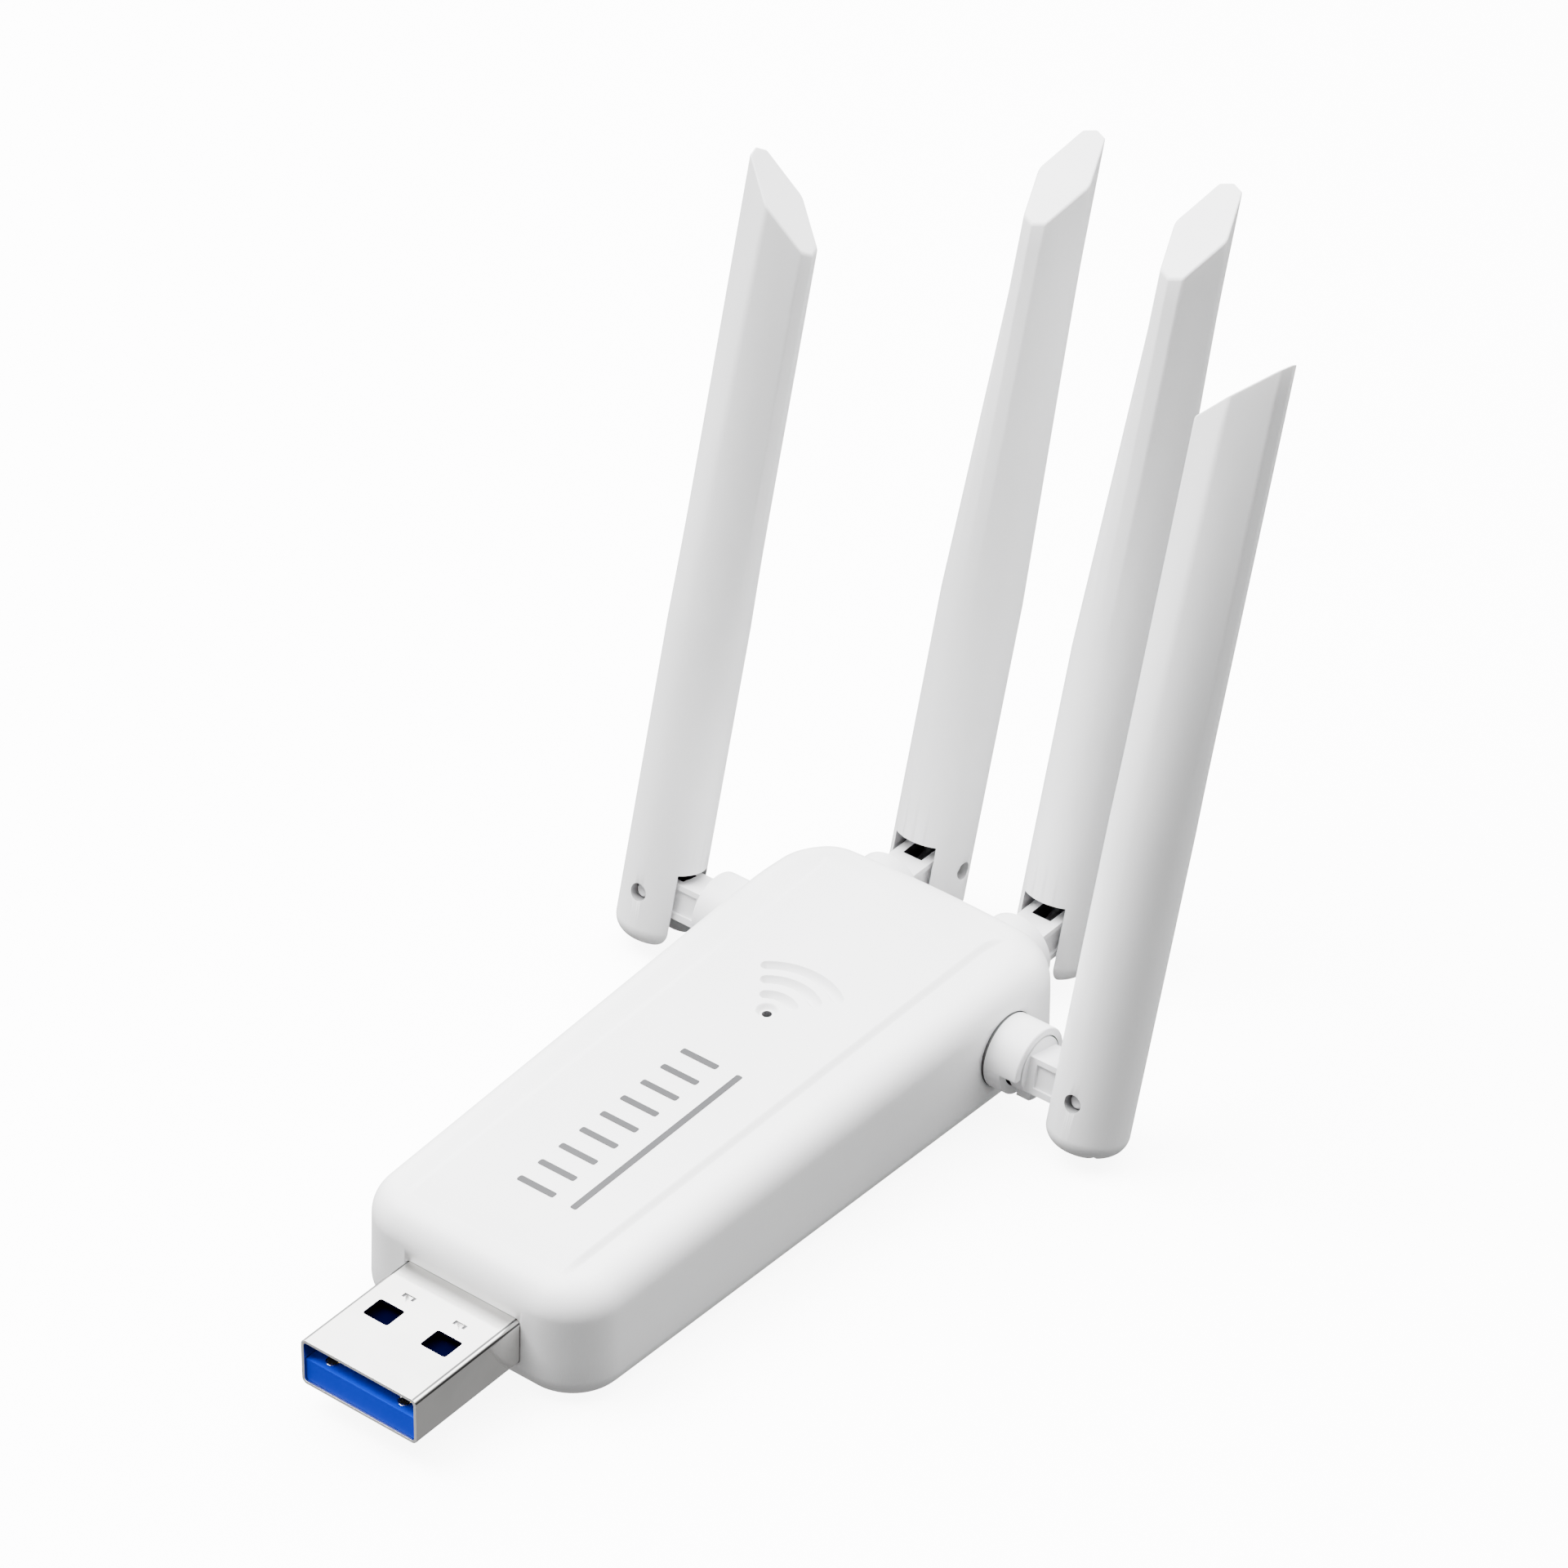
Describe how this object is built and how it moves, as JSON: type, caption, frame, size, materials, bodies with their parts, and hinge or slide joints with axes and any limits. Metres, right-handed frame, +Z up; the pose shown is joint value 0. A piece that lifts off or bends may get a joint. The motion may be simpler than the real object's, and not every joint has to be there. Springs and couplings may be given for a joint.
{
  "type": "wifi range extender",
  "caption": "USB-stick wifi range extender with folding, swivelling antennas, a raised top panel, signal arcs and a reset pinhole",
  "frame": {"origin": "centre of the flat underside of the body, under the middle of the body's length", "axes": "+Z up through the top panel, -Y out of the USB plug, +Y towards the rear antennas, +X to the right seen from above with the plug at the front"},
  "size_m": [0.054, 0.1033, 0.0706],
  "materials": {
    "white_plastic": "white moulded plastic, satin",
    "hinge_plastic": "white moulded hinge plastic, slightly duller",
    "nickel": "bright nickel-plated stamped steel",
    "blue_plastic": "blue moulded contact carrier",
    "gold": "gold-flashed spring contacts",
    "board_green": "green solder resist on glass fibre board",
    "tin": "tinned sheet, satin",
    "chip_black": "black moulded component body",
    "ferrite": "dark grey ferrite block",
    "led_lens": "pale clear lens",
    "cable_jacket": "black thin coaxial cable jacket",
    "brass": "bare brass radiator"
  },
  "bodies": {
    "extender_body": {"top_cover": "white_plastic", "bottom_cover": "white_plastic", "usb_shell": "nickel", "usb_insulator": "blue_plastic", "main_board": "board_green", "wifi_chipset": "chip_black", "rf_shield": "tin", "flash_memory": "chip_black", "voltage_regulator": "chip_black", "power_inductor": "ferrite", "crystal": "tin", "status_led": "led_lens", "reset_switch_body": "chip_black", "usb_blade_contact_1": "gold", "usb_blade_contact_2": "gold", "usb_blade_contact_3": "gold", "usb_blade_contact_4": "gold", "usb_spring_contact_1": "gold", "usb_spring_contact_2": "gold", "usb_spring_contact_3": "gold", "usb_spring_contact_4": "gold", "usb_spring_contact_5": "gold", "hinge_collar_left": "hinge_plastic", "coax_lead_left": "cable_jacket", "hinge_collar_right": "hinge_plastic", "coax_lead_right": "cable_jacket", "hinge_collar_rear_left": "hinge_plastic", "coax_lead_rear_left": "cable_jacket", "hinge_collar_rear_right": "hinge_plastic", "coax_lead_rear_right": "cable_jacket"},
    "reset_plunger": {"reset_plunger": "hinge_plastic"},
    "left_knuckle": {"swivel_knuckle_left": "hinge_plastic"},
    "left_antenna": {"antenna_sleeve_left": "white_plastic", "radiator_left": "brass", "coax_riser_left": "cable_jacket"},
    "right_knuckle": {"swivel_knuckle_right": "hinge_plastic"},
    "right_antenna": {"antenna_sleeve_right": "white_plastic", "radiator_right": "brass", "coax_riser_right": "cable_jacket"},
    "rear_left_knuckle": {"swivel_knuckle_rear_left": "hinge_plastic"},
    "rear_left_antenna": {"antenna_sleeve_rear_left": "white_plastic", "radiator_rear_left": "brass", "coax_riser_rear_left": "cable_jacket"},
    "rear_right_knuckle": {"swivel_knuckle_rear_right": "hinge_plastic"},
    "rear_right_antenna": {"antenna_sleeve_rear_right": "white_plastic", "radiator_rear_right": "brass", "coax_riser_rear_right": "cable_jacket"}
  },
  "joints": [
    {"name": "left_swivel", "type": "hinge", "parent": "extender_body", "child": "left_knuckle", "pos_m": [-0.02324, 0.02229, 0.00565], "axis": [1, 0, 0], "range_deg": [-61, 89]},
    {"name": "right_swivel", "type": "hinge", "parent": "extender_body", "child": "right_knuckle", "pos_m": [0.02324, 0.02229, 0.00565], "axis": [1, 0, 0], "range_deg": [-61, 89]},
    {"name": "rear_left_swivel", "type": "hinge", "parent": "extender_body", "child": "rear_left_knuckle", "pos_m": [-0.00695, 0.03939, 0.00645], "axis": [0, -1, 0], "range_deg": [0, 75]},
    {"name": "rear_right_swivel", "type": "hinge", "parent": "extender_body", "child": "rear_right_knuckle", "pos_m": [0.00695, 0.03939, 0.00645], "axis": [0, 1, 0], "range_deg": [0, 75]},
    {"name": "left_tilt", "type": "hinge", "parent": "left_knuckle", "child": "left_antenna", "pos_m": [-0.02324, 0.02229, 0.00565], "axis": [0, 0.9703, -0.2419], "range_deg": [-90, 0]},
    {"name": "right_tilt", "type": "hinge", "parent": "right_knuckle", "child": "right_antenna", "pos_m": [0.02324, 0.02229, 0.00565], "axis": [0, -0.9703, 0.2419], "range_deg": [-90, 0]},
    {"name": "rear_left_tilt", "type": "hinge", "parent": "rear_left_knuckle", "child": "rear_left_antenna", "pos_m": [-0.00695, 0.03939, 0.00645], "axis": [1, 0, 0], "range_deg": [-76, 14]},
    {"name": "rear_right_tilt", "type": "hinge", "parent": "rear_right_knuckle", "child": "rear_right_antenna", "pos_m": [0.00695, 0.03939, 0.00645], "axis": [1, 0, 0], "range_deg": [-76, 14]},
    {"name": "reset_press", "type": "slide", "parent": "extender_body", "child": "reset_plunger", "axis": [0, 0, -1], "range_m": [0, 0.00025], "stiffness_N_per_m": 400, "springref_m": -0.0002}
  ]
}
